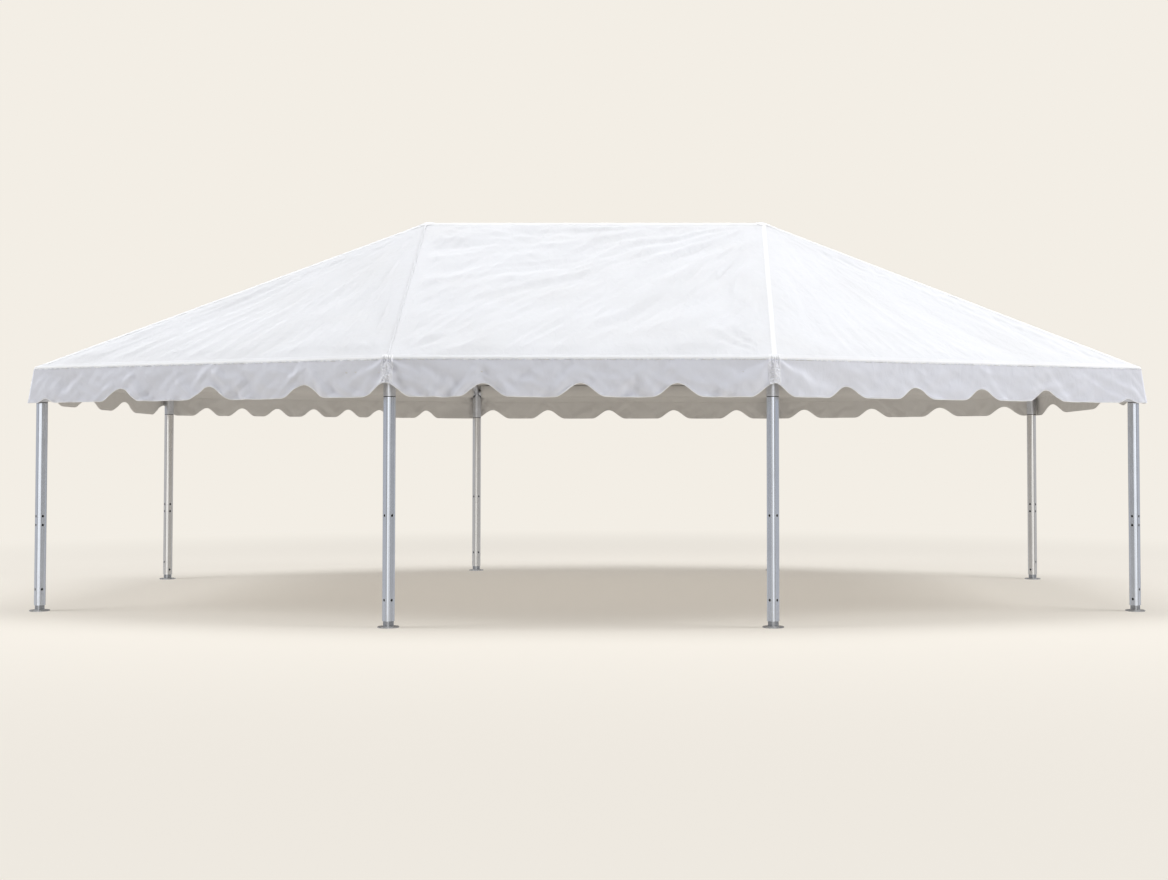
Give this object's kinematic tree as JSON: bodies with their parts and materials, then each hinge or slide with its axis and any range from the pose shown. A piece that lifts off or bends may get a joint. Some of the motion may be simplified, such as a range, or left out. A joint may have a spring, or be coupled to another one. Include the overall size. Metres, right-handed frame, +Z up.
{
  "type": "frame marquee tent",
  "caption": "Frame marquee with a white hipped canopy, a scalloped valance, drilled aluminium legs and round base plates.",
  "frame": {"origin": "ground level, at the middle of the plan", "axes": "+X along the ridge and the longest side, +Y towards the back, +Z up; -Y is the front shown in the picture"},
  "size_m": [9.804, 6.28, 3.704],
  "materials": {
    "canopy_cloth": "satin white coated cloth",
    "leg_metal": "drawn, lightly brushed along its length",
    "frame_metal": "satin tube",
    "fitting_metal": "satin cast",
    "foot_metal": "dull zinc plated"
  },
  "bodies": {
    "root": {"canopy_left_end": "canopy_cloth", "canopy_middle": "canopy_cloth", "canopy_right_end": "canopy_cloth", "crown_fitting_left": "fitting_metal", "crown_fitting_right": "fitting_metal", "eave_fitting_back_left_end": "fitting_metal", "eave_fitting_back_left_mid": "fitting_metal", "eave_fitting_back_right_end": "fitting_metal", "eave_fitting_back_right_mid": "fitting_metal", "eave_fitting_front_left_end": "fitting_metal", "eave_fitting_front_left_mid": "fitting_metal", "eave_fitting_front_right_end": "fitting_metal", "eave_fitting_front_right_mid": "fitting_metal", "eave_rail_back": "frame_metal", "eave_rail_back_left": "frame_metal", "eave_rail_back_right": "frame_metal", "eave_rail_front": "frame_metal", "eave_rail_front_left": "frame_metal", "eave_rail_front_right": "frame_metal", "eave_rail_left_end": "frame_metal", "eave_rail_right_end": "frame_metal", "foot_back_left_end": "foot_metal", "foot_back_left_mid": "foot_metal", "foot_back_right_end": "foot_metal", "foot_back_right_mid": "foot_metal", "foot_front_left_end": "foot_metal", "foot_front_left_mid": "foot_metal", "foot_front_right_end": "foot_metal", "foot_front_right_mid": "foot_metal", "hip_rafter_back_left": "frame_metal", "hip_rafter_back_right": "frame_metal", "hip_rafter_front_left": "frame_metal", "hip_rafter_front_right": "frame_metal", "leg_back_left_end": "leg_metal", "leg_back_left_mid": "leg_metal", "leg_back_right_end": "leg_metal", "leg_back_right_mid": "leg_metal", "leg_front_left_end": "leg_metal", "leg_front_left_mid": "leg_metal", "leg_front_right_end": "leg_metal", "leg_front_right_mid": "leg_metal", "rafter_back_left": "frame_metal", "rafter_back_right": "frame_metal", "rafter_front_left": "frame_metal", "rafter_front_right": "frame_metal", "ridge_tube": "frame_metal"}
  },
  "joints": []
}
